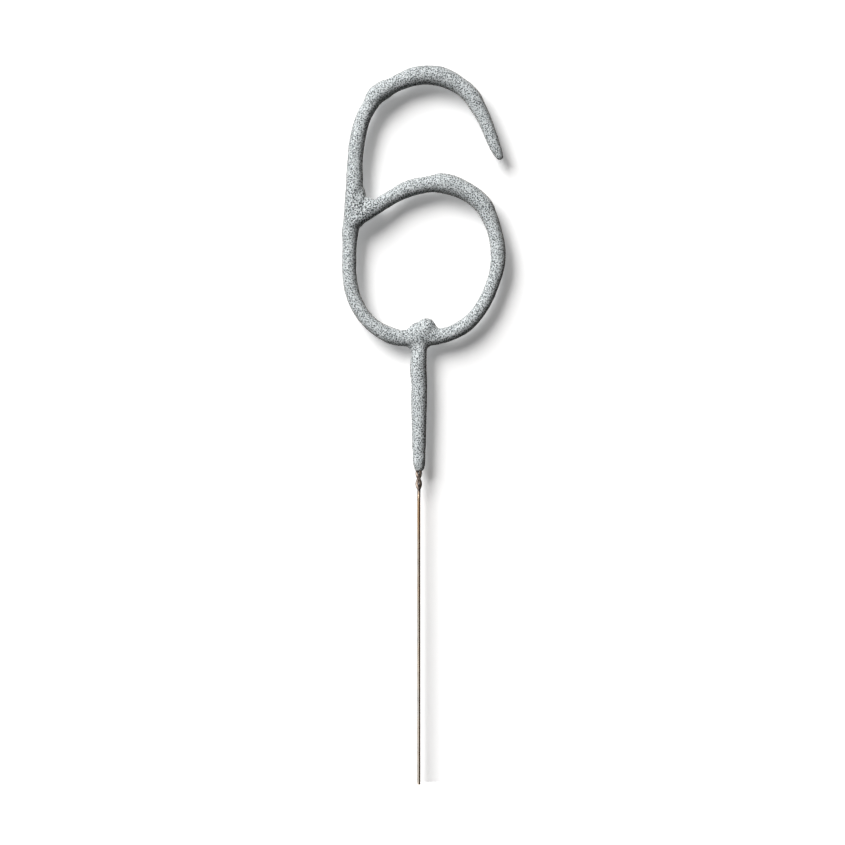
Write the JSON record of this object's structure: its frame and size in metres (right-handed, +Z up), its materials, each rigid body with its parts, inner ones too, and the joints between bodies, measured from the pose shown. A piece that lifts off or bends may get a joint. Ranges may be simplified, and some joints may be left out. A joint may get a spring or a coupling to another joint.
{
  "type": "number sparkler",
  "caption": "Cake-top sparkler in the shape of the numeral six: speckled grey crust on bent wire, standing on a straight twisted steel wire stem.",
  "frame": {"origin": "centre of the stem's cut lower end", "axes": "+Z up along the stem, +X to the reader's right of the numeral, -Y towards the reader of the numeral"},
  "size_m": [0.041, 0.0055, 0.1797],
  "materials": {
    "wire": "drawn steel wire, slightly browned",
    "crust": "matte, dried and grainy, dark metal specks"
  },
  "bodies": {
    "root": {"stem_wire": "wire", "figure_wire": "wire", "coating": "crust"}
  },
  "joints": []
}
